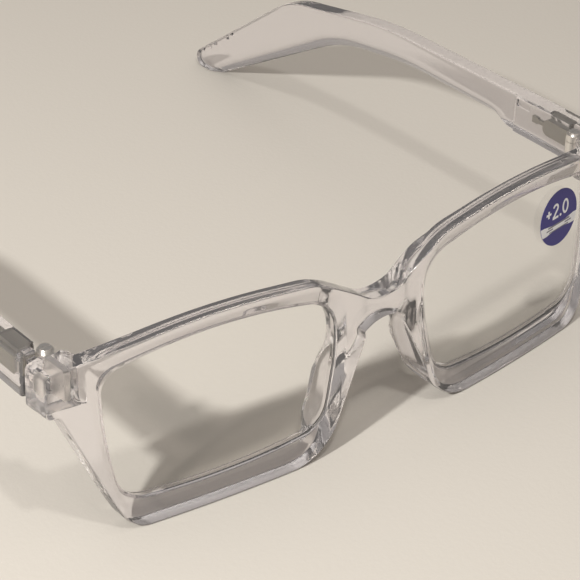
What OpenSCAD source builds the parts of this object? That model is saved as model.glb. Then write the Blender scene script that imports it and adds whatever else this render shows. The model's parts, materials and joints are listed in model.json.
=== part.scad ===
// Reading glasses in clear moulded plastic: one-piece front with moulded nose pads, two lenses,
// and two temples carried on sprung metal hinges. Millimetres, +Z up, front face towards -Y,
// temples running to +Y, wearer's left at +X. Stands open on the rims and the two temple tips.

/* [Front] */
// Width of one lens opening
eye_w = 48.9; // [44:0.1:56]
// Height of one lens opening
eye_h = 31.25; // [24:0.05:40]
// Distance between the two lens openings
nose_gap = 22.6; // [14:0.2:28]
// Height of the rim below the lens opening
rim_low = 4.95; // [2.5:0.05:8]
// Thickness of the front, front face to back face
front_t = 4.0; // [3:0.1:6]
// Overall width of the front
front_w = 142.4; // [120:0.2:160]
// Radius the front is curved to, seen from above
wrap_r = 331; // [150:1:900]
// Backward lean of the front when it stands on a table, in degrees
lean = 5; // [0:0.5:12]
// Depth of the slope from the face down to the lens
bevel_d = 1.8; // [0.6:0.1:2.6]

/* [Lenses] */
// Lens thickness
lens_t = 1.9; // [1.2:0.1:3]
// How far the lens edge sits in its groove
lens_lip = 0.7; // [0.3:0.05:1.2]
// Diameter of the round label on the left lens
label_d = 11.8; // [8:0.1:16]

/* [Nose pads] */
// How far the pads stand behind the front face
pad_d = 8.6; // [5:0.1:12]

/* [Temples] */
// Thickness of the arm
arm_t = 4.0; // [2.5:0.1:5.5]
// Inward lean of the arm seen from above, in degrees
toe_in = 1.7; // [0:0.1:5]
// Where the thick front block ends, from the front of the bridge
block_end = 36.6; // [30:0.2:50]
// Where the lowest end of the arm stops
tip_y = 147.8; // [130:0.2:165]

/* [Hinge] */
// Screw axis, sideways from the middle
axis_x = 65.6; // [60:0.1:70]
// Screw axis, back from the front of the bridge
axis_y = 18.6; // [15:0.1:25]
// Height of the middle of the hinge
axis_z = 33; // [28:0.1:36]
// Radius of the knuckles
knuckle_r = 1.6; // [1.2:0.05:2.4]
// Radius of the screw shank
screw_r = 0.6; // [0.4:0.05:1]
// Radial play of the moving knuckle on the screw
play = 0.05; // [0.02:0.01:0.1]
// Free turns in the spring
coils = 6; // [3:1:10]

/* [Hidden] */
$fn = 72;
y_mid = 71.84;
// lens opening: across fraction, up fraction, corner radius
EYE = [
  [0.065, 0.055, 6.5], [0.505, 0, 190], [0.949, 0.042, 7], [1, 0.545, 80],
  [1, 0.907, 4.5], [0.536, 1.052, 90], [0, 0.885, 7.5], [0, 0.53, 32]
];
// sloping face: where it starts outside each corner of the opening
CREASE = [
  [-1.3, -4.9, 8], [0, -3.8, 190], [0.4, -4.1, 6], [2.2, 0, 60],
  [3.6, 4.5, 3], [0, 3.4, 100], [-1.9, 3.0, 7], [-1.6, 0, 32]
];
eye_x0 = nose_gap / 2;
top_h = rim_low + eye_h * 1.052 + 2.6;
side_x = front_w / 2;

function unit(v) = v / norm(v);
function turned(v, a) = [v.x * cos(a) - v.y * sin(a), v.x * sin(a) + v.y * cos(a)];
function around(v, i) = v[(i + len(v)) % len(v)];
// arc that rounds corner b of the path a, b, c
function corner(a, b, c, r, n) =
  let (
    u = unit(a - b),
    w = unit(c - b),
    half = acos(u * w) / 2,
    mid = b + unit(u + w) * (r / sin(half)),
    start = b + u * (r / tan(half)) - mid,
    sweep = (180 - 2 * half) * sign(cross(b - a, c - b))
  )
  [for (i = [0:n]) mid + turned(start, sweep * i / n)];
function rounded(p, r, n) =
  [for (i = [0:len(p) - 1]) each corner(around(p, i - 1), p[i], around(p, i + 1), r[i], n)];
function grown(p, g) =
  [for (i = [0:len(p) - 1])
    let (
      d1 = unit(p[i] - around(p, i - 1)),
      d2 = unit(around(p, i + 1) - p[i]),
      n1 = [d1.y, -d1.x],
      n2 = [d2.y, -d2.x]
    )
    p[i] + g * (n1 + n2) / (1 + n1 * n2)];

eye_p = [for (q = EYE) [eye_x0 + q[0] * eye_w, rim_low + q[1] * eye_h]];
eye_r = [for (q = EYE) q[2]];
function eye_line(g) = rounded(grown(eye_p, g), [for (r = eye_r) r + g], 7);
crease_line = rounded([for (i = [0:7]) eye_p[i] + [CREASE[i][0], CREASE[i][1]]], [for (q = CREASE) q[2]], 7);

// ---- helpers ----
module placed() {
  translate([0, -y_mid, 0])
    children();
}

module right_side() {
  mirror([1, 0, 0])
    children();
}

module both() {
  children();
  mirror([1, 0, 0])
    children();
}

// upright outline swept from y0 back to y1
module prism(p, y0, y1) {
  translate([0, y1, 0])
    rotate([90, 0, 0])
      linear_extrude(height = y1 - y0)
        polygon(p);
}

// block swept sideways from an outline given in y, z
module side_prism(p, x0, x1) {
  translate([x0, 0, 0])
    rotate([90, 0, 90])
      linear_extrude(height = x1 - x0)
        polygon(p);
}

module bent_solid(d) {
  translate([0, wrap_r, -20])
    cylinder(h = 80, r = wrap_r - d, $fn = 720);
}

// layer of the curved front between two depths
module layer(d0, d1) {
  difference() {
    bent_solid(d0);
    bent_solid(d1);
  }
}

module leaned() {
  rotate([-lean, 0, 0])
    children();
}

// ---- front ----
module rim_blank() {
  p = [
    [15.4, -1.5], [57, -1.5], [68.4, 27], [68.6, 37.4],
    [37, top_h], [15.5, 38.0], [5.2, 31.4], [4.8, 22.5]
  ];
  prism(rounded(p, [9, 6, 0.8, 1.2, 120, 5, 0.6, 1.5], 6), -5, 30);
}

module end_outline() {
  p = [[62, 27.8], [side_x, 28.4], [side_x, 37.1], [62, 38.0]];
  prism(rounded(p, [0.5, 1, 1, 0.5], 4), -5, 22);
}

module end_block() {
  intersection() {
    bent_solid(0);
    end_outline();
    translate([axis_x - 2.2, 4, 0])
      cube([30, 30, 60]);
  }
}

module bridge_blank() {
  saddle = [for (a = [-33:6:33]) [12 * sin(a), 41.9 - 12 * cos(a)]];
  arch = [for (a = [30:-6:-30]) [10.4 * sin(a), 14.8 + 10.4 * cos(a)]];
  prism(concat(saddle, [[7, 25]], arch, [[-7, 25]]), -5, 30);
}

// pad and the thick wall that carries it, behind the nose side of the rim
module nose_pad() {
  p = [
    [12.6, 5.6], [15.3, 5.2], [13.6, 14], [12.4, 24], [12.3, 33],
    [9.5, 34], [5.6, 31.4], [5.2, 22.5]
  ];
  intersection() {
    bent_solid(front_t);
    prism(rounded(p, [1.2, 1.2, 20, 12, 2, 1.5, 0.8, 1.5], 2), 3, 12);
    translate([0, pad_d - 34, 18])
      rotate([0, 90, 0])
        cylinder(h = 20, r = 34);
  }
}

// slope from the sloping face's outer line down to the lens
module eye_bevel() {
  n = len(crease_line);
  inner = eye_line(0);
  steps = [-0.35, 1.04];
  pts = [
    for (s = steps)
      for (i = [0:n - 1])
        let (q = crease_line[i] * (1 - s) + inner[i] * s)
          [q.x, q.x * q.x / (2 * wrap_r) + s * bevel_d, q.y]
  ];
  mid = [36, -1.5, 20];
  back = [36, 3.6, 20];
  polyhedron(
    points = concat(pts, [mid, back]),
    faces = concat(
      [for (i = [0:n - 1]) [2 * n, (i + 1) % n, i]],
      [for (i = [0:n - 1]) [i, n + (i + 1) % n, n + i]],
      [for (i = [0:n - 1]) [i, (i + 1) % n, n + (i + 1) % n]],
      [for (i = [0:n - 1]) [2 * n + 1, n + i, n + (i + 1) % n]]
    )
  );
}

module eye_cuts() {
  intersection() {
    layer(-2, front_t + 1);
    prism(eye_line(0), -5, 30);
  }
  // shallow moulded dimple beside the lens
  intersection() {
    bent_solid(-1);
    translate([64.6, 30, 31.5])
      rotate([90, 0, 0])
        cylinder(h = 23.2, r = 1.8);
  }
}

// groove that holds the lens edge
module lens_room() {
  intersection() {
    layer(1.5, 1.5 + lens_t + 0.1);
    prism(eye_line(lens_lip + 0.05), -5, 30);
  }
}

// room for the knuckles and the leaf in the end piece
module hinge_pocket() {
  leaf_plate();
  translate([axis_x - 4, axis_y - knuckle_r - 0.6, axis_z - 3.2])
    cube([4 + knuckle_r + 0.25, 6, 7.2]);
  // rear face, falling away to the outside so the arm can spring outwards
  translate([0, 0, 20])
    linear_extrude(height = 25)
      polygon([[58, 17.7], [66.6, 17.65], [76, 16.3], [76, 30], [58, 30]]);
}

module front_frame() {
  color([0.93, 0.9, 0.93, 0.35])
    placed()
      difference() {
        leaned()
          union() {
            difference() {
              intersection() {
                layer(0, front_t);
                union() {
                  both() {
                    rim_blank();
                    end_outline();
                  }
                  bridge_blank();
                }
              }
              both() {
                eye_cuts();
                lens_room();
                eye_bevel();
              }
            }
            both() {
              end_block();
              nose_pad();
            }
          }
        translate([-90, -20, -20])
          cube([180, 60, 20]);
        both()
          hinge_pocket();
      }
}

// ---- lenses ----
module lens() {
  placed()
    leaned()
      intersection() {
        layer(1.55, 1.55 + lens_t);
        prism(eye_line(lens_lip), -5, 30);
      }
}

module right_lens() {
  color([0.9, 0.93, 0.95, 0.3])
    right_side()
      lens();
}

module left_lens() {
  color([0.9, 0.93, 0.95, 0.3])
    lens();
}

module lens_label() {
  color([0.12, 0.1, 0.4])
    placed()
      leaned()
        intersection() {
          layer(1.43, 1.55);
          translate([51.4, 20, 26.9])
            rotate([90, 0, 0])
              cylinder(h = 24, r = label_d / 2);
        }
}

// ---- hinge, drawn for the left side ----
module leaf_plate() {
  translate([axis_x + 0.4, 10.9, axis_z - 2.85])
    cube([knuckle_r - 0.4, axis_y - 1.9 - 10.9, 5.7]);
}

module front_hinge() {
  placed()
    difference() {
      union() {
        leaf_plate();
        for (z = [-2.85, 1.35])
          translate([0, 0, axis_z + z]) {
            translate([axis_x, axis_y, 0])
              cylinder(h = 1.5, r = knuckle_r);
            translate([axis_x - 0.8, axis_y - 2.1, 0])
              cube([knuckle_r + 0.8, 2.1, 1.5]);
          }
      }
      translate([axis_x, axis_y, axis_z - 3])
        cylinder(h = 3, r = screw_r);
      translate([axis_x, axis_y, axis_z])
        cylinder(h = 3, r = screw_r + play);
    }
}

module hinge_screw() {
  placed()
    difference() {
      translate([axis_x, axis_y, 0])
        union() {
          translate([0, 0, axis_z - 2.85])
            cylinder(h = 5.9, r = screw_r);
          translate([0, 0, axis_z + 2.85])
            cylinder(h = 0.6, r = 1.15);
        }
      translate([axis_x - 2, axis_y - 0.15, axis_z + 3.2])
        cube([4, 0.3, 1]);
    }
}

module hinge_slider() {
  placed()
    difference() {
      union() {
        translate([axis_x, axis_y, axis_z - 1.25])
          cylinder(h = 2.5, r = knuckle_r);
        translate([axis_x + 0.1, axis_y + 0.4, axis_z - 1.25])
          cube([3.1, 1.9, 2.5]);
        translate([68, axis_y + 2.2, axis_z])
          rotate([-90, 0, 0])
            cylinder(h = 6.5, r = 0.5);
      }
      translate([axis_x, axis_y, axis_z - 2])
        cylinder(h = 4, r = screw_r + play);
    }
}

module spring_retainer() {
  placed()
    translate([68, axis_y + 7.9, axis_z])
      rotate([-90, 0, 0])
        difference() {
          cylinder(h = 0.6, r = 1);
          translate([0, 0, -1])
            cylinder(h = 3, r = 0.5);
        }
}

// closed metal box let into the temple, with a fixing tail behind it
module housing_solid() {
  profile = [
    [21.1, axis_z - 1.85], [28.4, axis_z - 1.85], [28.4, axis_z + 1.85], [21.1, axis_z + 1.85]
  ];
  side_prism(rounded(profile, [0.3, 1.6, 1.6, 0.3], 6), 66.6, 69.4);
  translate([67.3, 28.2, axis_z - 0.3])
    cube([1.4, 2.2, 0.9]);
  translate([67.3, 30.2, axis_z - 0.6])
    cube([1.4, 1.6, 1.5]);
}

module hinge_housing() {
  placed()
    difference() {
      housing_solid();
      translate([68, 21.9, axis_z])
        rotate([-90, 0, 0])
          cylinder(h = 5.7, r = 1.2);
      translate([68, 20, axis_z])
        rotate([-90, 0, 0])
          cylinder(h = 4, r = 0.56);
    }
}

// round wire wound along the rod, front end against the box wall
module hinge_spring() {
  wire = 0.17;
  mean = 0.88;
  len_y = 4.55;
  per = 12;
  n = coils * per;
  ring = 6;
  pts = [
    for (i = [0:n])
      for (j = [0:ring - 1])
        let (
          a = 360 * i / per,
          b = 360 * j / ring,
          r = mean + wire * cos(b)
        )
          [r * cos(a), wire + (len_y - 2 * wire) * i / n + wire * sin(b), r * sin(a)]
  ];
  placed()
    translate([68, 21.92, axis_z])
      polyhedron(
        points = pts,
        faces = concat(
          [[for (j = [ring - 1:-1:0]) j]],
          [for (i = [0:n - 1])
            for (j = [0:ring - 1])
              [i * ring + j, i * ring + (j + 1) % ring, (i + 1) * ring + (j + 1) % ring]],
          [for (i = [0:n - 1])
            for (j = [0:ring - 1])
              [i * ring + j, (i + 1) * ring + (j + 1) % ring, (i + 1) * ring + j]],
          [[for (j = [0:ring - 1]) n * ring + j]]
        )
      );
}

// ---- temple, drawn for the left side ----
module arm_profile(y0) {
  p = [
    [y0, 27.9], [72, 28.3], [94, 25], [tip_y - 12.4, 0],
    [tip_y, 0], [110, 30], [78, 36.2], [y0, 36.9]
  ];
  side_prism(rounded(p, [0.8, 80, 40, 2, 2.4, 25, 90, 0.8], 7), 50, 80);
}

module temple() {
  outer_x = 71.1;
  placed()
    difference() {
      union() {
        // arm
        intersection() {
          arm_profile(block_end - 3);
          translate([outer_x, 27, -5])
            rotate([0, 0, toe_in])
              translate([-arm_t, 0, 0])
                cube([arm_t, 140, 60]);
        }
        // front block that holds the hinge box
        intersection() {
          arm_profile(axis_y - 0.6);
          translate([66.5, 10, 0])
            cube([outer_x - 66.5, block_end - 10, 60]);
        }
      }
      housing_solid();
      // room for the knuckles and the slider
      translate([axis_x - 4, axis_y - 3, axis_z - 3.2])
        cube([4 + knuckle_r + 0.5, 5.2, 7.2]);
      translate([axis_x, axis_y - 3, axis_z - 1.5])
        cube([3.5, 5.6, 3]);
      // oval recess on the inside of the block
      side_prism(rounded([[32, 34.5], [36.1, 34.5], [36.1, 36], [32, 36]], [0.7, 0.7, 0.7, 0.7], 5), 60, 67);
    }
}

module right_temple() {
  color([0.93, 0.9, 0.93, 0.35])
    right_side()
      temple();
}

module left_temple() {
  color([0.93, 0.9, 0.93, 0.35])
    temple();
}

module right_front_hinge() {
  color([0.5, 0.49, 0.42])
    right_side()
      front_hinge();
}

module left_front_hinge() {
  color([0.5, 0.49, 0.42])
    front_hinge();
}

module right_hinge_screw() {
  color([0.7, 0.7, 0.7])
    right_side()
      hinge_screw();
}

module left_hinge_screw() {
  color([0.7, 0.7, 0.7])
    hinge_screw();
}

module right_hinge_slider() {
  color([0.5, 0.49, 0.42])
    right_side()
      hinge_slider();
}

module left_hinge_slider() {
  color([0.5, 0.49, 0.42])
    hinge_slider();
}

module right_spring_retainer() {
  color([0.6, 0.6, 0.58])
    right_side()
      spring_retainer();
}

module left_spring_retainer() {
  color([0.6, 0.6, 0.58])
    spring_retainer();
}

module right_hinge_spring() {
  color([0.6, 0.6, 0.58])
    right_side()
      hinge_spring();
}

module left_hinge_spring() {
  color([0.6, 0.6, 0.58])
    hinge_spring();
}

module right_hinge_housing() {
  color([0.42, 0.41, 0.36])
    right_side()
      hinge_housing();
}

module left_hinge_housing() {
  color([0.42, 0.41, 0.36])
    hinge_housing();
}

front_frame();
right_lens();
left_lens();
lens_label();
right_front_hinge();
left_front_hinge();
right_hinge_screw();
left_hinge_screw();
right_hinge_slider();
left_hinge_slider();
right_spring_retainer();
left_spring_retainer();
right_hinge_spring();
left_hinge_spring();
right_hinge_housing();
left_hinge_housing();
right_temple();
left_temple();
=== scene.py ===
"""Clear plastic reading glasses standing open on a pale table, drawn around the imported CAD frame."""
import json
import math

import bmesh
import bpy
import numpy as np
from mathutils import Matrix, Vector
from mathutils.geometry import delaunay_2d_cdt


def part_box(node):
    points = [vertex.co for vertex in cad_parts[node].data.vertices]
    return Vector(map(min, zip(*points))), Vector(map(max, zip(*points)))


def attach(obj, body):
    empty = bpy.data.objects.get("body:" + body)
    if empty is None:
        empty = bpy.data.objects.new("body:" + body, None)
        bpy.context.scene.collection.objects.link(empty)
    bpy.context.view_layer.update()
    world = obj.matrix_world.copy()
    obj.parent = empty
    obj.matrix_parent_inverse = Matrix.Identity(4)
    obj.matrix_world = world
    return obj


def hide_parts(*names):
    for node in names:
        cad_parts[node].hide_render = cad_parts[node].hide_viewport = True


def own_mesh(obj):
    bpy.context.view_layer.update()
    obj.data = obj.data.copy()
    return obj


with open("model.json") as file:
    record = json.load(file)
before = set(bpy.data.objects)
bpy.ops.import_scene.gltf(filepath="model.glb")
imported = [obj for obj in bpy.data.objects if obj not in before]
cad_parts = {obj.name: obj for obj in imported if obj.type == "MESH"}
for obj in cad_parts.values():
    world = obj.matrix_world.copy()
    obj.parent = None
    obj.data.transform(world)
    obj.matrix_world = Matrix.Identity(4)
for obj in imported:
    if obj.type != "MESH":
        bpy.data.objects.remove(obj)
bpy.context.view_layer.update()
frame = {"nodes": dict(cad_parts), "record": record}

record = frame["record"]
slot_of = {row["node"]: row["material_slot"] for row in record["subparts"]}

# ---------------------------------------------------------------- dimensions, in millimetres
MM = 0.001
Y_MID = 71.84          # the row frame starts this far behind the front of the bridge
WRAP_R = 331.0         # radius of the front, seen from above
LEAN = math.radians(5)  # backward lean of the front
FRONT_T = 4.0
LENS_FRONT, LENS_T, LENS_LIP, GROOVE_GAP = 1.55, 1.9, 0.7, 0.05
BEVEL_D = 1.5
EYE_X, EYE_H, EYE_WIDTH, EYE_HEIGHT = 11.3, 4.95, 48.9, 31.25
# lens opening: across fraction, up fraction, corner radius
EYE = [
    (0.065, 0.055, 6.5), (0.505, 0, 190), (0.949, 0.042, 7), (1, 0.545, 80),
    (1, 0.907, 4.5), (0.536, 1.052, 90), (0, 0.885, 7.5), (0, 0.53, 32),
]
# start of the sloping face outside each corner of the opening: across, up, corner radius
CREASE = [
    (-1.3, -4.9, 8), (0, -3.8, 190), (0.4, -4.1, 6), (2.2, 0, 60),
    (3.6, 4.5, 3), (0, 3.4, 100), (-1.9, 3.0, 7), (-1.6, 0, 32),
]
# outer line of one half of the front: across, up, corner radius
HALF_FRONT = [
    (15.5, 38.0, 15), (37, 40.42, 120), (71.2, 37.1, 1), (71.2, 28.4, 1), (68.9, 28.2, 0.8),
    (56.8, 0.03, 6.5), (14.9, 0.03, 12), (4.8, 22.5, 1.2), (4.9, 24.05, 0.35),
]
PAD_D, BRIDGE_D = 8.6, 5.4     # depth behind the front face
BLOCK_REAR, NOTCH_REAR = 17.65, 16.4   # how far back the end blocks and their hinge notches reach
BLOCK_SLANT_X, BLOCK_SLANT = 66.6, 0.144   # outside this, the block's rear face falls away
# shallow oval mark beside each lens: across, up, half length, half width, tilt
MARK_X, MARK_H, MARK_A, MARK_B = 64.3, 31.7, 2.1, 1.5
MARK_COS, MARK_SIN = 0.8, 0.6
MARK_DEPTH = 0.35
# lower edge of a temple, then the rest of its side outline: back, up, corner radius
TEMPLE_UNDER = [(18, 27.9, 0.8), (72, 28.3, 80), (94, 25, 40), (135.4, 0, 2)]
TEMPLE_OVER = [(147.8, 0, 2.4), (110, 30, 25), (78, 36.2, 90), (18, 36.9, 0.8)]
BLOCK_END = 36.5       # the temple's thick front block ends here
BLOCK_T, ARM_T, ARM_TAPER = 4.6, 3.98, 0.25
EDGE_T = 1.2           # thickness of the temple at its lower edge
OUTER_X = 71.1
LEAN_IN, LEAN_IN_START = math.radians(1.7), 27   # the arms lean inwards from here


# ---------------------------------------------------------------- plane outlines
def corner(a, b, c, r, n):
    """Points of the arc of radius r that rounds corner b of the path a, b, c."""
    u, w = a - b, c - b
    u, w = u / np.linalg.norm(u), w / np.linalg.norm(w)
    half = math.acos(max(-1, min(1, u @ w))) / 2
    mid = b + (u + w) / np.linalg.norm(u + w) * (r / math.sin(half))
    start = b + u * (r / math.tan(half)) - mid
    cross = (b - a)[0] * (c - b)[1] - (b - a)[1] * (c - b)[0]
    sweep = (math.pi - 2 * half) * (1 if cross > 0 else -1)
    count = n if n else max(3, math.ceil(r * abs(sweep) / 0.4))
    angle = sweep * np.arange(count + 1) / count
    turn_x = start[0] * np.cos(angle) - start[1] * np.sin(angle)
    turn_y = start[0] * np.sin(angle) + start[1] * np.cos(angle)
    return mid + np.stack([turn_x, turn_y], 1)


def rounded(corners, n=0, parts=0, step=0.4):
    """Closed dense loop through rounded corners. With n and parts given, loops match point by point."""
    p = [np.array(q[:2], float) for q in corners]
    arcs = [corner(p[i - 1], p[i], p[(i + 1) % len(p)], corners[i][2], n) for i in range(len(p))]
    loop = []
    for i, arc in enumerate(arcs):
        loop.extend(arc)
        after = arcs[(i + 1) % len(arcs)][0]
        count = parts if parts else max(1, round(np.linalg.norm(after - arc[-1]) / step))
        loop.extend(arc[-1] + (after - arc[-1]) * k / count for k in range(1, count))
    return np.array(loop)


def grown(corners, g):
    """Corner list moved outwards by g. The corners run anticlockwise."""
    p = np.array([q[:2] for q in corners], float)
    d1 = p - np.roll(p, 1, 0)
    d1 /= np.linalg.norm(d1, axis=1)[:, None]
    d2 = np.roll(d1, -1, 0)
    n1 = np.stack([d1[:, 1], -d1[:, 0]], 1)
    n2 = np.stack([d2[:, 1], -d2[:, 0]], 1)
    moved = p + g * (n1 + n2) / (1 + (n1 * n2).sum(1))[:, None]
    return [(x, y, q[2] + g) for (x, y), q in zip(moved, corners)]


def area(loop):
    x, y = loop[:, 0], loop[:, 1]
    return 0.5 * (x * np.roll(y, -1) - np.roll(x, -1) * y).sum()


def inset(loop, distance):
    """Loop moved towards its own inside by distance, a number or one for each point."""
    edge = np.roll(loop, -1, 0) - loop
    edge /= np.linalg.norm(edge, axis=1)[:, None]
    n2 = np.stack([-edge[:, 1], edge[:, 0]], 1) * (1 if area(loop) > 0 else -1)
    n1 = np.roll(n2, 1, 0)
    mitre = (n1 + n2) / np.maximum(1 + (n1 * n2).sum(1), 0.6)[:, None]
    return loop + mitre * np.broadcast_to(distance, len(loop))[:, None]


def inside(points, loop):
    """True for each point that lies inside the closed loop."""
    hit = np.zeros(len(points), bool)
    nxt = np.roll(loop, -1, 0)
    for (x0, y0), (x1, y1) in zip(loop, nxt):
        if y0 == y1:
            continue
        across = (points[:, 1] >= y0) != (points[:, 1] >= y1)
        hit ^= across & (points[:, 0] < x0 + (points[:, 1] - y0) * (x1 - x0) / (y1 - y0))
    return hit


def distance(points, path, closed=True):
    """Distance from each point to a path."""
    best = np.full(len(points), 1e9)
    ends = np.roll(path, -1, 0) if closed else path[1:]
    for a, b in zip(path, ends):
        d = b - a
        t = np.clip(((points - a) @ d) / max(d @ d, 1e-12), 0, 1)
        best = np.minimum(best, np.hypot(*(points - a - t[:, None] * d).T))
    return best


def depth_in(points, loop):
    """Distance inside a closed loop, negative outside it."""
    return distance(points, loop) * np.where(inside(points, loop), 1, -1)


def shoulder(t):
    """Rises from 0 to 1 like a quarter circle: a wall with a rounded upper edge."""
    t = np.clip(t, 0, 1)
    return np.sqrt(1 - (1 - t) ** 2)


def smooth(a, b, v):
    t = np.clip((v - a) / (b - a), 0, 1)
    return t * t * (3 - 2 * t)


def honeycomb(loop, pitch):
    """Evenly spread points inside a loop's box."""
    low, high = loop.min(0), loop.max(0)
    rows = []
    for k, y in enumerate(np.arange(low[1], high[1], pitch * 0.866)):
        x = np.arange(low[0] + (k % 2) * pitch / 2, high[0], pitch)
        rows.append(np.stack([x, np.full(len(x), y)], 1))
    return np.concatenate(rows)


def along(loop, offsets, step=0.3):
    """Rows of points beside a closed outline, at the given distances inside it."""
    rows = []
    for offset in offsets:
        line = inset(loop, offset)
        nxt = np.roll(line, -1, 0)
        for a, b in zip(line, nxt):
            count = max(1, round(np.linalg.norm(b - a) / step))
            rows.extend(a + (b - a) * k / count for k in range(count))
    return np.array(rows)


# ---------------------------------------------------------------- moulded plates
def rounded_edge(loop, near, far, r_near, r_far, hole=False, walls=5, turns=5):
    """Rows of a wall round a loop, with both edges rounded, from the near face's to the far face's."""
    side = -1 if hole else 1
    rows = []
    angles = [math.pi / 2 * k / turns for k in range(turns + 1)]
    for a in reversed(angles):
        line = inset(loop, side * r_near * (1 - math.cos(a)))
        rows.append((line, near(line) + r_near * (1 - math.sin(a))))
    first, last = near(loop) + r_near, far(loop) - r_far
    for k in range(1, walls):
        rows.append((loop, first + (last - first) * k / walls))
    for a in angles:
        line = inset(loop, side * r_far * (1 - math.cos(a)))
        rows.append((line, far(line) - r_far * (1 - math.sin(a))))
    return rows


def fill(loops, numbers, extra, height, verts, faces):
    """Triangles over the region between loops, with extra points inside it."""
    border = np.concatenate(loops)
    keep = inside(extra, loops[0])
    for hole in loops[1:]:
        keep &= ~inside(extra, hole)
    extra = extra[keep]
    for loop in loops:
        extra = extra[distance(extra, loop) > 0.28]
    edges, start = [], 0
    for loop in loops:
        n = len(loop)
        edges += [(start + i, start + (i + 1) % n) for i in range(n)]
        start += n
    points = [Vector(p) for p in np.concatenate([border, extra])]
    found, _, tris, origin, _, _ = delaunay_2d_cdt(points, edges, [], 0, 1e-7, True)
    place = np.array([tuple(p) for p in found])
    middles = np.array([place[list(t)].mean(0) for t in tris])
    keep = inside(middles, loops[0])
    for hole in loops[1:]:
        keep &= ~inside(middles, hole)
    lookup = {}
    border_numbers = [n for run in numbers for n in run]
    heights = height(place)
    for i, (x, y) in enumerate(place):
        old = [k for k in origin[i] if k < len(border)]
        if old:
            lookup[i] = border_numbers[old[0]]
        else:
            lookup[i] = len(verts)
            verts.append((x, y, heights[i]))
    faces += [[lookup[k] for k in t] for t, ok in zip(tris, keep) if ok]


def plate(name, borders, near, far, near_points, far_points, place, sharp=32):
    """Closed solid between two surfaces. Each border is a list of rows from the near to the far face."""
    verts, faces, near_ring, far_ring = [], [], [], []
    for rows in borders:
        numbers = []
        for line, depth in rows:
            numbers.append(list(range(len(verts), len(verts) + len(line))))
            verts += [(x, y, d) for (x, y), d in zip(line, depth)]
        for one, two in zip(numbers, numbers[1:]):
            n = len(one)
            faces += [[one[i], one[(i + 1) % n], two[(i + 1) % n], two[i]] for i in range(n)]
        near_ring.append(numbers[0])
        far_ring.append(numbers[-1])
    fill([rows[0][0] for rows in borders], near_ring, near_points, near, verts, faces)
    fill([rows[-1][0] for rows in borders], far_ring, far_points, far, verts, faces)
    mesh = bpy.data.meshes.new(name)
    mesh.from_pydata(place(np.array(verts)).tolist(), [], faces)
    bm = bmesh.new()
    bm.from_mesh(mesh)
    bmesh.ops.remove_doubles(bm, verts=bm.verts, dist=2e-7)
    bmesh.ops.dissolve_degenerate(bm, dist=1e-7, edges=bm.edges)
    bmesh.ops.recalc_face_normals(bm, faces=bm.faces)
    bm.to_mesh(mesh)
    bm.free()
    mesh.shade_smooth()
    mesh.set_sharp_from_angle(angle=math.radians(sharp))
    obj = bpy.data.objects.new(name, mesh)
    bpy.context.collection.objects.link(obj)
    return obj


def front_place(v, side=1):
    """Across, up and depth behind the curved face, to the row frame in metres."""
    x, h, d = v.T
    y = WRAP_R - np.sqrt((WRAP_R - d) ** 2 - x ** 2)
    back = y * math.cos(LEAN) + h * math.sin(LEAN) - Y_MID
    up = h * math.cos(LEAN) - y * math.sin(LEAN) * smooth(0, 9, h)
    return np.stack([side * x, back, up], 1) * MM


# ---------------------------------------------------------------- front
eye_corners = [(EYE_X + a * EYE_WIDTH, EYE_H + b * EYE_HEIGHT, r) for a, b, r in EYE]
crease_corners = [
    (x + dx, h + dh, r) for (x, h, _), (dx, dh, r) in zip(eye_corners, CREASE)
]
MATCH = {"n": 22, "parts": 3}


def mirrored(loop):
    return (loop * (-1, 1))[::-1]


def mirrored_rows(rows):
    return [(mirrored(line), depth[::-1]) for line, depth in rows]


def front_outline():
    top, arch = [(0, 28.6, 9.7)], [(0, 26.66, 8.5)]
    left = [(-x, h, r) for x, h, r in reversed(HALF_FRONT)]
    return rounded(top + HALF_FRONT + arch + left)


BLOCK_ZONE = np.array([(63.4, 28.5), (75, 28.5), (75, 40), (63.4, 40)])
KNUCKLE_ZONE = np.array([(60, 31.2), (67.45, 31.2), (67.45, 41), (60, 41)])


def front_near(p):
    """Depth of the front face: flat but for the oval marks."""
    dx, dh = np.abs(p[:, 0]) - MARK_X, p[:, 1] - MARK_H
    lengthways = (dx * MARK_COS + dh * MARK_SIN) / MARK_A
    crossways = (dh * MARK_COS - dx * MARK_SIN) / MARK_B
    return MARK_DEPTH * shoulder((1 - np.sqrt(lengthways ** 2 + crossways ** 2)) / 0.3)


def front_far(p):
    """Depth of the rear face, with the nose pads, the bridge and the end blocks."""
    q = np.stack([np.abs(p[:, 0]), p[:, 1]], 1)
    x, h = q.T
    rise = smooth(1.5, 8, h) * (1 - 0.7 * smooth(15, 26, h))
    pad_end = 19 - 4.5 * smooth(4, 26, h)
    pad = (PAD_D - FRONT_T) * rise * smooth(pad_end, pad_end - 4.5, x) * smooth(2.5, 8.5, x)
    rear = np.where(x < BLOCK_SLANT_X, BLOCK_REAR, BLOCK_REAR - (x - BLOCK_SLANT_X) * BLOCK_SLANT)
    rear = rear - (BLOCK_REAR - NOTCH_REAR) * (depth_in(q, KNUCKLE_ZONE) > 0)
    flat = (rear - h * math.sin(LEAN)) / math.cos(LEAN)
    block = WRAP_R - np.sqrt((WRAP_R - flat) ** 2 + x ** 2) - FRONT_T
    bridge = (BRIDGE_D - FRONT_T) * smooth(7.5, 1.5, x)
    return FRONT_T + pad + bridge + block * shoulder(depth_in(q, BLOCK_ZONE) / 0.4)


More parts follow.
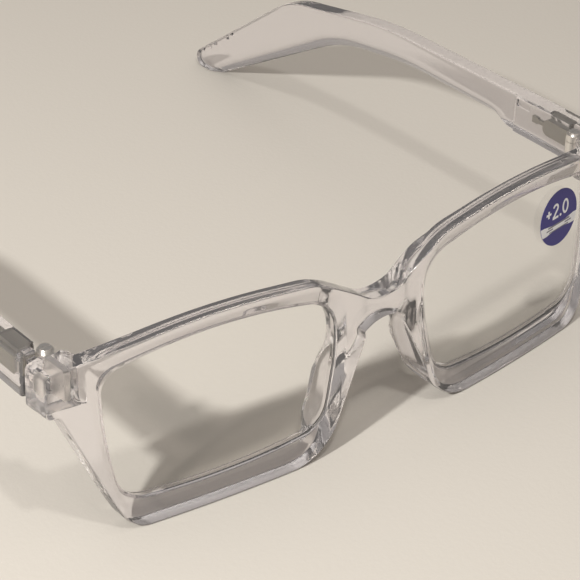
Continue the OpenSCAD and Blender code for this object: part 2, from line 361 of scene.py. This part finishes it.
def eye_rows(far, rim):
    """Rows round a lens opening: sloping face, lens groove and rounded rear edge."""
    crease = rounded(crease_corners, **MATCH)
    opening = rounded(eye_corners, **MATCH)
    # the crease stays clear of the rim's rounded outer edge
    low, high = np.full(len(crease), 0.3), np.ones(len(crease))
    for _ in range(12):
        t = (low + high) / 2
        clear_of = depth_in(opening + (crease - opening) * t[:, None], rim) > 0.95
        low, high = np.where(clear_of, t, low), np.where(clear_of, high, t)
    crease = opening + (crease - opening) * high[:, None]
    groove = rounded(grown(eye_corners, LENS_LIP + GROOVE_GAP), **MATCH)
    rows = []
    for s in (-0.12, -0.06, -0.02, 0.02, 0.06, 0.12, 0.3, 0.5, 0.7, 0.85, 0.95):
        line = crease * (1 - s) + opening * s
        rows.append((line, np.full(len(line), BEVEL_D * (s + math.sqrt(s * s + 0.004)) / 2)))
    for s, extra in ((0.985, 0.0), (1.0, 0.03)):
        line = crease * (1 - s) + opening * s
        rows.append((line, np.full(len(line), BEVEL_D * s + extra)))
    g0, g1 = LENS_FRONT - GROOVE_GAP, LENS_FRONT + LENS_T + GROOVE_GAP
    for line, depth in (
        (opening, g0 + 0.06), (groove, g0 + 0.08), (groove, g0 + 0.7),
        (groove, g0 + 1.4), (groove, g1), (opening, g1),
    ):
        rows.append((line, np.full(len(line), depth)))
    radius = 0.35 + 0.75 * smooth(0.4, 2.5, far(opening) - FRONT_T)
    turns = 6
    for k in range(turns + 1):
        a = math.pi / 2 * k / turns
        line = inset(opening, -radius * (1 - math.cos(a)))
        depth = far(opening) - radius
        rows.append((line, depth + radius * math.sin(a) + (far(line) - far(opening)) * (k / turns)))
    return rows


def make_front():
    loop = front_outline()
    near_nose = smooth(16, 14, np.abs(loop[:, 0]))
    radius = 0.45 + 0.75 * smooth(0.4, 2.5, front_far(loop) - FRONT_T) * near_nose
    outer = rounded_edge(loop, front_near, front_far, 0.4, radius)
    eye = eye_rows(front_far, loop)
    grid = honeycomb(loop, 0.9)
    pad = honeycomb(np.array([(2.0, -1), (20, 40)]), 0.5)
    block = along(BLOCK_ZONE, [-0.1, -0.01, 0.02, 0.06, 0.14, 0.26, 0.42])
    notch = along(KNUCKLE_ZONE, [-0.03, 0.03])
    turn = np.arange(48) * math.tau / 48
    a, b = MARK_A * np.cos(turn), MARK_B * np.sin(turn)
    oval = np.stack([a * MARK_COS - b * MARK_SIN, a * MARK_SIN + b * MARK_COS], 1)
    rings = (1.03, 1.0, 0.985, 0.95, 0.9, 0.84, 0.78, 0.7)
    mark = np.concatenate([(MARK_X, MARK_H) + k * oval for k in rings])
    steps = np.concatenate([pad, block, notch])
    far_points = np.concatenate([grid, steps, steps * (-1, 1)])
    near_points = np.concatenate([grid, mark, mark * (-1, 1)])
    return plate(
        "front_moulding", [outer, eye, mirrored_rows(eye)], front_near, front_far,
        near_points, far_points, front_place,
    )


def make_lens(side, name):
    loop = rounded(grown(eye_corners, LENS_LIP), **MATCH)

    def near(p):
        return np.full(len(p), LENS_FRONT)

    def far(p):
        return np.full(len(p), LENS_FRONT + LENS_T)

    rows = rounded_edge(loop, near, far, 0.12, 0.12, walls=4, turns=3)
    grid = honeycomb(loop, 1.0)
    return plate(name, [rows], near, far, grid, grid, lambda v: front_place(v, side))


# ---------------------------------------------------------------- temples
def temple_place(v, side):
    """Back, up and depth inwards from the outside face, to the row frame in metres."""
    y, z, d = v.T
    past = y - LEAN_IN_START
    lean_in = math.tan(LEAN_IN) * 0.5 * (past + np.sqrt(past ** 2 + 16))
    return np.stack([side * (OUTER_X - lean_in - d), y - Y_MID, z], 1) * MM


temple_loop = rounded(TEMPLE_UNDER + TEMPLE_OVER)
# the lower edge carried on below the tip, so that the slope beside it runs on evenly
lower_edge = rounded(TEMPLE_UNDER + [(140, -30, 2), (0, -30, 2)])
lower_edge = lower_edge[(lower_edge[:, 1] > -1) & (lower_edge[:, 0] > 30)]
HINGE_ROOM = np.array([(10, 29.8), (20.8, 29.8), (20.8, 40), (10, 40)])
SLIDER_ROOM = np.array([(10, 31.5), (21.15, 31.5), (21.15, 34.5), (10, 34.5)])
REAR_RECESS = rounded([(32, 34.5, 0.7), (36.1, 34.5, 0.7), (36.1, 36, 0.7), (32, 36, 0.7)])


def temple_near(p):
    return np.zeros(len(p))


def temple_far(p):
    """Thickness of the temple, with its sloped lower edge and the pockets for the hinge."""
    y = p[:, 0]
    arm = ARM_T - ARM_TAPER * smooth(60, 130, y)
    thick = np.where(y < BLOCK_END, BLOCK_T, arm)
    bevel = EDGE_T + distance(p, lower_edge, closed=False)
    over = thick - bevel
    cut = thick - 0.5 * (over + np.sqrt(over ** 2 + 0.3)) * smooth(38, 46, y)
    cut = np.where(depth_in(p, REAR_RECESS) > 0, 4.1, cut)
    cut = np.where(depth_in(p, HINGE_ROOM) > 0, 3.4, cut)
    return np.where(depth_in(p, SLIDER_ROOM) > 0, 2.0, cut)


def make_temple(side, name):
    radius = np.minimum(0.5, temple_far(temple_loop) * 0.35)
    outer = rounded_edge(temple_loop, temple_near, temple_far, 0.7, radius)
    grid = honeycomb(temple_loop, 0.6)
    line = np.array([(BLOCK_END, z) for z in np.arange(27, 38, 0.25)])
    step = np.concatenate([line + (-0.02, 0), line + (0.02, 0)])
    extra = np.concatenate([along(zone, [-0.03, 0.03]) for zone in (REAR_RECESS, HINGE_ROOM, SLIDER_ROOM)])
    return plate(
        name, [outer], temple_near, temple_far, grid, np.concatenate([grid, step, extra]),
        lambda v: temple_place(v, side),
    )


# ---------------------------------------------------------------- hinge springs
COILS, WIRE_R, COIL_R = 6, 0.17, 0.88


def make_spring(side, name):
    """Round-wire coil filling the length of its CAD node's box. Returns it with its front end's centre."""
    low, high = (np.array(corner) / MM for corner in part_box(f"{name}_hinge_spring"))
    middle = (low + high) / 2
    around, ring = 28, 10
    n = int(COILS * around)
    verts, faces = [], []
    for i in range(n + 1):
        a = math.tau * i / around
        y = low[1] + WIRE_R + (high[1] - low[1] - 2 * WIRE_R) * i / n
        for j in range(ring):
            b = math.tau * j / ring
            r = COIL_R + WIRE_R * math.cos(b)
            x, z = middle[0] + side * r * math.cos(a), middle[2] + r * math.sin(a)
            verts.append((x, y + WIRE_R * math.sin(b), z))
    for i in range(n):
        for j in range(ring):
            k = (j + 1) % ring
            faces.append([i * ring + j, i * ring + k, (i + 1) * ring + k, (i + 1) * ring + j])
    faces += [list(range(ring)), list(range(n * ring, (n + 1) * ring))]
    mesh = bpy.data.meshes.new(f"{name}_coil")
    mesh.from_pydata((np.array(verts) * MM).tolist(), [], faces)
    bm = bmesh.new()
    bm.from_mesh(mesh)
    bmesh.ops.recalc_face_normals(bm, faces=bm.faces)
    bm.to_mesh(mesh)
    bm.free()
    mesh.shade_smooth()
    mesh.set_sharp_from_angle(angle=math.radians(50))
    coil = bpy.data.objects.new(f"{name}_coil", mesh)
    bpy.context.collection.objects.link(coil)
    return coil, tuple(np.array((middle[0], low[1], middle[2])) * MM)


# ---------------------------------------------------------------- label
LABEL_X, LABEL_H, LABEL_R, LABEL_T = 51.6, 26.7, 6.1, 0.12
INK_T = 0.02


def flat_piece(name, shapes, depth, thick):
    """Thin even shapes lying along the curved face, joined as one object. A shape is a loop and its holes."""
    def near(p):
        return np.full(len(p), depth)

    def far(p):
        return np.full(len(p), depth + thick)

    parts = []
    for loops in shapes:
        rows = [[(loop, near(loop)), (loop, far(loop))] for loop in loops]
        grid = honeycomb(loops[0], 0.8)
        parts.append(plate(name, rows, near, far, grid, grid, front_place))
    whole = parts[0]
    bm = bmesh.new()
    for part in parts:
        bm.from_mesh(part.data)
    bm.to_mesh(whole.data)
    bm.free()
    for part in parts[1:]:
        bpy.data.objects.remove(part)
    return whole


def stroke(path, width):
    """Outline of a pen stroke along an open path."""
    path = np.array(path, float)
    d = np.gradient(path, axis=0)
    d /= np.linalg.norm(d, axis=1)[:, None]
    side = np.stack([-d[:, 1], d[:, 0]], 1) * width / 2
    return np.concatenate([path + side, (path - side)[::-1]])


def ellipse(x, h, a, b, start=0, end=360, count=40):
    turn = np.radians(np.linspace(start, end, count, endpoint=abs(end - start) < 360))
    return np.stack([x + a * np.cos(turn), h + b * np.sin(turn)], 1)


def label_print():
    """Generic power number, a plus sign and digits, above the band."""
    x, h, w = LABEL_X, LABEL_H + 1.75, 0.5
    plus = [stroke([(x - 4.3, h), (x - 2.7, h)], w), stroke([(x - 3.5, h - 0.8), (x - 3.5, h + 0.8)], w)]
    bend = ellipse(x - 1.2, h + 0.75, 0.72, 0.72, 165, -35, 16)
    two = stroke(np.concatenate([bend, [(x - 1.95, h - 1.3)]]), w)
    foot = stroke([(x - 2.2, h - 1.42), (x - 0.3, h - 1.42)], w)
    dot = ellipse(x + 0.45, h - 1.35, 0.3, 0.3, count=16)
    zero = [ellipse(x + 2.1, h, 1.05, 1.65), ellipse(x + 2.1, h, 0.55, 1.15)]
    return [[plus[0]], [plus[1]], [two], [foot], [dot], zero]


def label_band(low, high, half):
    """Strip across the label, cut off by its edge where half is wider than it."""
    def reach(h):
        return min(half, math.sqrt((LABEL_R - 0.02) ** 2 - h * h))

    levels = np.linspace(low, high, 9)
    right = [(LABEL_X + reach(h), LABEL_H + h) for h in levels]
    left = [(LABEL_X - reach(h), LABEL_H + h) for h in levels[::-1]]
    return np.array(right + left)


def make_label():
    base = LENS_FRONT - LABEL_T - 0.03
    disc = flat_piece("power_label", [[ellipse(LABEL_X, LABEL_H, LABEL_R, LABEL_R, count=96)]], base, LABEL_T)
    band = flat_piece("label_band", [[label_band(-2.9, -0.75, 9)]], base - INK_T, INK_T)
    number = flat_piece("label_number", label_print(), base - INK_T, INK_T)
    bars = [[label_band(-1.5, -1.15, 3.6)], [label_band(-2.05, -1.75, 4.1)], [label_band(-2.6, -2.35, 3.2)]]
    lines = flat_piece("label_bars", bars, base - 2 * INK_T, INK_T)
    return disc, band, number, lines


# ---------------------------------------------------------------- materials
def principled(name, colour, rough):
    material = bpy.data.materials.new(name)
    material.use_nodes = True
    shader = material.node_tree.nodes["Principled BSDF"]
    shader.inputs["Base Color"].default_value = (*colour, 1)
    shader.inputs["Roughness"].default_value = rough
    return material, material.node_tree, shader


def add_bump(tree, shader, scale, depth, detail=3.0):
    """Fine unevenness of the surface."""
    noise = tree.nodes.new("ShaderNodeTexNoise")
    noise.inputs["Scale"].default_value = scale
    noise.inputs["Detail"].default_value = detail
    coords = tree.nodes.new("ShaderNodeTexCoord")
    tree.links.new(coords.outputs["Object"], noise.inputs["Vector"])
    bump = tree.nodes.new("ShaderNodeBump")
    bump.inputs["Distance"].default_value = depth
    tree.links.new(noise.outputs["Fac"], bump.inputs["Height"])
    tree.links.new(bump.outputs["Normal"], shader.inputs["Normal"])
    return noise


def calculate(tree, operation, *values):
    """Maths node on numbers or on other nodes' outputs."""
    node = tree.nodes.new("ShaderNodeMath")
    node.operation = operation
    for socket, value in zip(node.inputs, values):
        if isinstance(value, (int, float)):
            socket.default_value = value
        else:
            tree.links.new(value, socket)
    return node.outputs[0]


def clear(name, colour, transmission, shade):
    """Clear plastic that lets part of the light through to the table. Returns its transparent shader too."""
    material, tree, shader = principled(name, colour, 0.0)
    shader.inputs["IOR"].default_value = 1.5
    shader.inputs["Transmission Weight"].default_value = transmission
    add_bump(tree, shader, 180.0, 0.000012, 1.0)
    path = tree.nodes.new("ShaderNodeLightPath")
    through = tree.nodes.new("ShaderNodeBsdfTransparent")
    through.inputs["Color"].default_value = (*shade, 1)
    mix = tree.nodes.new("ShaderNodeMixShader")
    tree.links.new(path.outputs["Is Shadow Ray"], mix.inputs["Fac"])
    tree.links.new(shader.outputs["BSDF"], mix.inputs[1])
    tree.links.new(through.outputs["BSDF"], mix.inputs[2])
    tree.links.new(mix.outputs["Shader"], tree.nodes["Material Output"].inputs["Surface"])
    return material, tree, through


def lens_plastic():
    """Lens that shades the table less low in the right lens and over the left one than it does above that."""
    dark, light = (0.3, 0.285, 0.275), (0.95, 0.94, 0.92)
    material, tree, through = clear("lens_plastic", (0.992, 0.992, 0.985), 1.0, dark)
    coords = tree.nodes.new("ShaderNodeTexCoord")
    split = tree.nodes.new("ShaderNodeSeparateXYZ")
    table_shade = tree.nodes.new("ShaderNodeMix")
    table_shade.data_type = "RGBA"
    table_shade.inputs["A"].default_value = (*dark, 1)
    table_shade.inputs["B"].default_value = (*light, 1)
    tree.links.new(coords.outputs["Object"], split.inputs["Vector"])
    # Painted shade: the lens's shadow on the table is darker above a sloping line across the lens and lighter
    # below it, set by place on the lens rather than by the light
    border = calculate(tree, "MULTIPLY_ADD", split.outputs["X"], 0.24, 0.0304)
    below = calculate(tree, "SUBTRACT", border, split.outputs["Z"])
    tree.links.new(calculate(tree, "DIVIDE", below, 0.007), table_shade.inputs["Factor"])
    tree.links.new(table_shade.outputs["Result"], through.inputs["Color"])
    return material


def metal(name, colour, rough):
    material, tree, shader = principled(name, colour, rough)
    shader.inputs["Metallic"].default_value = 1
    noise = add_bump(tree, shader, 3000.0, 0.00002)
    spread = tree.nodes.new("ShaderNodeMapRange")
    spread.inputs["To Min"].default_value = rough * 0.7
    spread.inputs["To Max"].default_value = rough * 1.4
    tree.links.new(noise.outputs["Fac"], spread.inputs["Value"])
    tree.links.new(spread.outputs["Result"], shader.inputs["Roughness"])
    return material


materials = {
    "frame_plastic": clear("clear_plastic", (0.988, 0.962, 0.982), 0.93, (0.38, 0.365, 0.36))[0],
    "lens": lens_plastic(),
    "hinge_metal": metal("hinge_metal", (0.86, 0.83, 0.79), 0.3),
    "housing_metal": metal("housing_metal", (0.34, 0.32, 0.27), 0.38),
    "spring_metal": metal("spring_metal", (0.6, 0.6, 0.58), 0.3),
    "screw_metal": metal("screw_metal", (0.86, 0.84, 0.82), 0.3),
}


def ink(name, colour, rough):
    material, tree, shader = principled(name, colour, rough)
    add_bump(tree, shader, 2500.0, 0.00001)
    return material


materials["label"] = ink("label_blue", (0.022, 0.016, 0.2), 0.35)
label_white = ink("label_white", (0.82, 0.82, 0.84), 0.4)
label_grey = ink("label_grey", (0.2, 0.2, 0.24), 0.5)


# ---------------------------------------------------------------- the object
def stand_for(piece, body, node):
    piece.data.materials.append(materials[slot_of[node]])
    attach(piece, body)
    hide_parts(node)


for node, obj in frame["nodes"].items():
    for slot in obj.material_slots:
        slot.material = materials[slot_of[node]]

stand_for(make_front(), "front", "front_frame")
disc, *prints = make_label()
stand_for(disc, "front", "lens_label")
for piece, colour in zip(prints, (label_white, label_white, label_grey)):
    piece.data.materials.append(colour)
    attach(piece, "front")
for side, word in ((1, "left"), (-1, "right")):
    stand_for(make_lens(side, f"{word}_lens_body"), "front", f"{word}_lens")
    stand_for(make_temple(side, f"{word}_arm_moulding"), f"{word}_arm", f"{word}_temple")
    coil, front_end = make_spring(side, word)
    stand_for(coil, f"{word}_arm", f"{word}_hinge_spring")
    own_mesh(coil)


# ---------------------------------------------------------------- table, light and camera
def make_table():
    mesh = bpy.data.meshes.new("table")
    half, low = 0.7, -0.00003
    corners = [(-half, -half, low), (half, -half, low), (half, half, low), (-half, half, low)]
    mesh.from_pydata(corners, [], [(0, 1, 2, 3)])
    table = bpy.data.objects.new("table", mesh)
    bpy.context.collection.objects.link(table)
    material, tree, shader = principled("table", (0.68, 0.635, 0.57), 0.5)
    add_bump(tree, shader, 900.0, 0.00004)
    mesh.materials.append(material)


def make_lamp(name, place, size, power, colour):
    data = bpy.data.lights.new(name, "AREA")
    data.shape = "DISK"
    data.size = size
    data.energy = power
    data.color = colour
    lamp = bpy.data.objects.new(name, data)
    bpy.context.collection.objects.link(lamp)
    lamp.location = place
    lamp.rotation_euler = (-Vector(place)).to_track_quat("-Z", "Y").to_euler()


def make_world():
    world = bpy.data.worlds.new("world")
    world.use_nodes = True
    tree = world.node_tree
    coords = tree.nodes.new("ShaderNodeTexCoord")
    split = tree.nodes.new("ShaderNodeSeparateXYZ")
    ramp = tree.nodes.new("ShaderNodeValToRGB")
    tree.links.new(coords.outputs["Generated"], split.inputs["Vector"])
    tree.links.new(split.outputs["Z"], ramp.inputs["Fac"])
    tree.links.new(ramp.outputs["Color"], tree.nodes["Background"].inputs["Color"])
    ramp.color_ramp.elements[0].color = (0.27, 0.252, 0.238, 1)
    ramp.color_ramp.elements[1].position = 0.92
    ramp.color_ramp.elements[1].color = (0.62, 0.585, 0.55, 1)
    ramp.color_ramp.elements.new(0.6).color = (0.19, 0.178, 0.168, 1)
    tree.nodes["Background"].inputs["Strength"].default_value = 1.0
    bpy.context.scene.world = world


def make_camera():
    """Camera above the wearer's right, looking down at the front, rolled slightly."""
    azimuth, elevation, roll = math.radians(-40.905), math.radians(33.043), math.radians(2.462)
    back = Vector((
        math.sin(azimuth) * math.cos(elevation),
        -math.cos(azimuth) * math.cos(elevation),
        math.sin(elevation),
    ))
    right = (-back).cross(Vector((0, 0, 1))).normalized()
    up = right.cross(-back)
    x_axis = math.cos(roll) * right + math.sin(roll) * up
    y_axis = -math.sin(roll) * right + math.cos(roll) * up
    data = bpy.data.cameras.new("camera")
    data.lens = 139.84
    data.sensor_width = 36
    data.clip_start = 0.01
    data.clip_end = 20
    camera = bpy.data.objects.new("camera", data)
    bpy.context.collection.objects.link(camera)
    turn = Matrix((x_axis, y_axis, back)).transposed().to_4x4()
    camera.matrix_world = Matrix.Translation(Vector((-0.24442, -0.3239, 0.25961))) @ turn
    bpy.context.scene.camera = camera


make_table()
make_lamp("key", (-0.6, -0.19, 0.5), 0.045, 5.5, (1, 0.985, 0.96))
make_lamp("second", (-0.105, -0.265, 0.53), 0.04, 0.6, (1, 0.985, 0.96))
make_world()
make_camera()
bpy.context.scene.view_settings.view_transform = "Standard"
cycles = bpy.context.scene.cycles
cycles.caustics_refractive = False
cycles.caustics_reflective = False
cycles.max_bounces = 24
cycles.transmission_bounces = 24
cycles.transparent_max_bounces = 24
